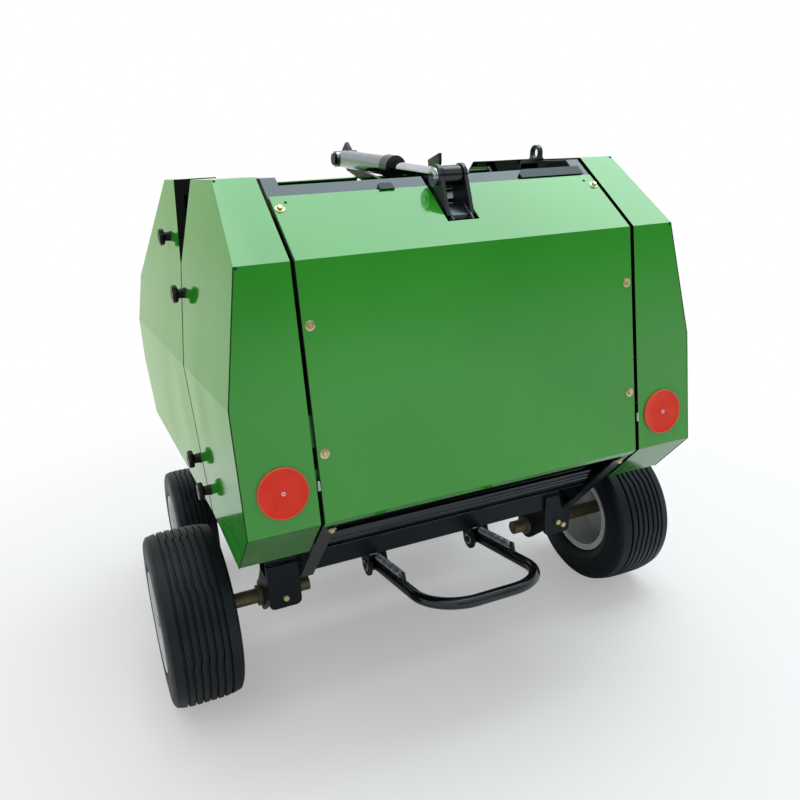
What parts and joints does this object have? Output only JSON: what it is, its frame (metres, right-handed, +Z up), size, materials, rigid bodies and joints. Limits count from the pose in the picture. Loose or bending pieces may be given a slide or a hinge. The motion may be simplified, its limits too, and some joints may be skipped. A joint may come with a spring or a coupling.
{
  "type": "round baler",
  "caption": "Mounted mini round baler with roller chamber, hinged tailgate moved by one cylinder, tined pick-up, sprung bale kicker, main wheels and gauge wheels.",
  "frame": {"origin": "on the ground under the middle of the bounding box", "axes": "+X right, +Y forward in travel, +Z up"},
  "size_m": [1.352, 1.1394, 1.245],
  "materials": {
    "green_paint": "gloss",
    "black_paint": "gloss",
    "roller_paint": "satin",
    "olive_steel": "satin",
    "gearbox_paint": "satin",
    "steel": "satin",
    "spring_steel": "satin",
    "chrome": "polished",
    "tyre": "matt",
    "rim_white": "gloss",
    "reflector_red": "gloss",
    "knob_black": "matt"
  },
  "bodies": {
    "frame": {"chassis_beam": "black_paint", "axle_clamps": "black_paint", "axle_tubes": "olive_steel", "front_frame": "black_paint", "front_cover_left": "green_paint", "front_cover_right": "green_paint", "front_hood": "green_paint", "cylinder_mount": "black_paint", "hitch_beam": "black_paint", "hitch_mast": "black_paint", "gearbox": "gearbox_paint", "pickup_frame": "black_paint", "front_knobs": "knob_black"},
    "gate": {"gate_frame": "black_paint", "lifting_lug": "black_paint", "gate_panel": "green_paint", "gate_cover_left": "green_paint", "gate_cover_right": "green_paint", "gate_reflectors": "reflector_red", "gate_bracket": "black_paint", "gate_knobs": "knob_black"},
    "wheel_left": {"tyre_left": "tyre", "rim_left": "rim_white"},
    "wheel_right": {"tyre_right": "tyre", "rim_right": "rim_white"},
    "gauge_left": {"gauge_tyre_left": "tyre", "gauge_rim_left": "rim_white"},
    "gauge_right": {"gauge_tyre_right": "tyre", "gauge_rim_right": "rim_white"},
    "barrel": {"cylinder_barrel": "steel"},
    "rod": {"cylinder_rod": "chrome"},
    "kicker": {"kicker_bar": "black_paint", "kicker_springs": "spring_steel"},
    "reel": {"pickup_reel": "spring_steel"},
    "input": {"input_shaft": "steel"},
    "front_drum_1": {"front_roller_1": "roller_paint"},
    "gate_drum_1": {"gate_roller_1": "roller_paint"},
    "front_drum_2": {"front_roller_2": "roller_paint"},
    "gate_drum_2": {"gate_roller_2": "roller_paint"},
    "front_drum_3": {"front_roller_3": "roller_paint"},
    "gate_drum_3": {"gate_roller_3": "roller_paint"},
    "front_drum_4": {"front_roller_4": "roller_paint"},
    "gate_drum_4": {"gate_roller_4": "roller_paint"},
    "front_drum_5": {"front_roller_5": "roller_paint"},
    "gate_drum_5": {"gate_roller_5": "roller_paint"}
  },
  "joints": [
    {"name": "gate_swing", "type": "hinge", "parent": "frame", "child": "gate", "pos_m": [0, -0.06831, 1.004], "axis": [-1, 0, 0], "range_deg": [0, 35]},
    {"name": "barrel_tilt", "type": "hinge", "parent": "frame", "child": "barrel", "pos_m": [0, 0.20169, 1.203], "axis": [-1, 0, 0], "range_deg": [-0.5, 17.98]},
    {"name": "rod_slide", "type": "slide", "parent": "barrel", "child": "rod", "axis": [0, 0.997, 0.0774], "range_m": [-0.002, 0.13508]},
    {"name": "wheel_left_spin", "type": "hinge", "parent": "frame", "child": "wheel_left", "pos_m": [-0.5945, -0.17131, 0.203], "axis": [1, 0, 0], "continuous": true},
    {"name": "wheel_right_spin", "type": "hinge", "parent": "frame", "child": "wheel_right", "pos_m": [0.5945, -0.17131, 0.203], "axis": [1, 0, 0], "continuous": true},
    {"name": "gauge_left_spin", "type": "hinge", "parent": "frame", "child": "gauge_left", "pos_m": [-0.5, 0.37669, 0.165], "axis": [1, 0, 0], "continuous": true},
    {"name": "gauge_right_spin", "type": "hinge", "parent": "frame", "child": "gauge_right", "pos_m": [0.5, 0.37669, 0.165], "axis": [1, 0, 0], "continuous": true},
    {"name": "kicker_swing", "type": "hinge", "parent": "frame", "child": "kicker", "pos_m": [0, -0.23831, 0.25], "axis": [1, 0, 0], "range_deg": [0, 22], "stiffness_Nm_per_rad": 120, "springref_deg": -17.19, "deforming": ["kicker_springs"]},
    {"name": "drive_spin", "type": "hinge", "parent": "frame", "child": "front_drum_1", "pos_m": [0, 0.14889, 1.02998], "axis": [1, 0, 0], "continuous": true},
    {"name": "front_drum_2_spin", "type": "hinge", "parent": "frame", "child": "front_drum_2", "pos_m": [0, 0.28202, 0.87684], "axis": [1, 0, 0], "continuous": true},
    {"name": "front_drum_3_spin", "type": "hinge", "parent": "frame", "child": "front_drum_3", "pos_m": [0, 0.32074, 0.67766], "axis": [1, 0, 0], "continuous": true},
    {"name": "front_drum_4_spin", "type": "hinge", "parent": "frame", "child": "front_drum_4", "pos_m": [0, 0.03115, 0.32636], "axis": [1, 0, 0], "continuous": true},
    {"name": "front_drum_5_spin", "type": "hinge", "parent": "frame", "child": "front_drum_5", "pos_m": [0, -0.12487, 0.31682], "axis": [1, 0, 0], "continuous": true},
    {"name": "gate_drum_1_spin", "type": "hinge", "parent": "gate", "child": "gate_drum_1", "pos_m": [0, -0.39142, 0.48016], "axis": [1, 0, 0], "continuous": true},
    {"name": "gate_drum_2_spin", "type": "hinge", "parent": "gate", "child": "gate_drum_2", "pos_m": [0, -0.45748, 0.64368], "axis": [1, 0, 0], "continuous": true},
    {"name": "gate_drum_3_spin", "type": "hinge", "parent": "gate", "child": "gate_drum_3", "pos_m": [0, -0.44518, 0.81961], "axis": [1, 0, 0], "continuous": true},
    {"name": "gate_drum_4_spin", "type": "hinge", "parent": "gate", "child": "gate_drum_4", "pos_m": [0, -0.357, 0.97234], "axis": [1, 0, 0], "continuous": true},
    {"name": "gate_drum_5_spin", "type": "hinge", "parent": "gate", "child": "gate_drum_5", "pos_m": [0, -0.21079, 1.07096], "axis": [1, 0, 0], "continuous": true},
    {"name": "reel_spin", "type": "hinge", "parent": "frame", "child": "reel", "pos_m": [0, 0.33469, 0.262], "axis": [1, 0, 0], "continuous": true},
    {"name": "input_spin", "type": "hinge", "parent": "frame", "child": "input", "pos_m": [0, 0.45469, 0.61], "axis": [0, 1, 0], "continuous": true}
  ],
  "couplings": [
    {"joint": "barrel_tilt", "follows": "gate_swing", "ratio": 0.49947},
    {"joint": "rod_slide", "follows": "gate_swing", "m_per_rad": 0.21785},
    {"joint": "front_drum_2_spin", "follows": "drive_spin", "ratio": 1},
    {"joint": "front_drum_3_spin", "follows": "drive_spin", "ratio": 1},
    {"joint": "front_drum_4_spin", "follows": "drive_spin", "ratio": 1},
    {"joint": "front_drum_5_spin", "follows": "drive_spin", "ratio": 1},
    {"joint": "gate_drum_1_spin", "follows": "drive_spin", "ratio": 1},
    {"joint": "gate_drum_2_spin", "follows": "drive_spin", "ratio": 1},
    {"joint": "gate_drum_3_spin", "follows": "drive_spin", "ratio": 1},
    {"joint": "gate_drum_4_spin", "follows": "drive_spin", "ratio": 1},
    {"joint": "gate_drum_5_spin", "follows": "drive_spin", "ratio": 1},
    {"joint": "reel_spin", "follows": "drive_spin", "ratio": 0.6},
    {"joint": "input_spin", "follows": "drive_spin", "ratio": 2.7}
  ]
}
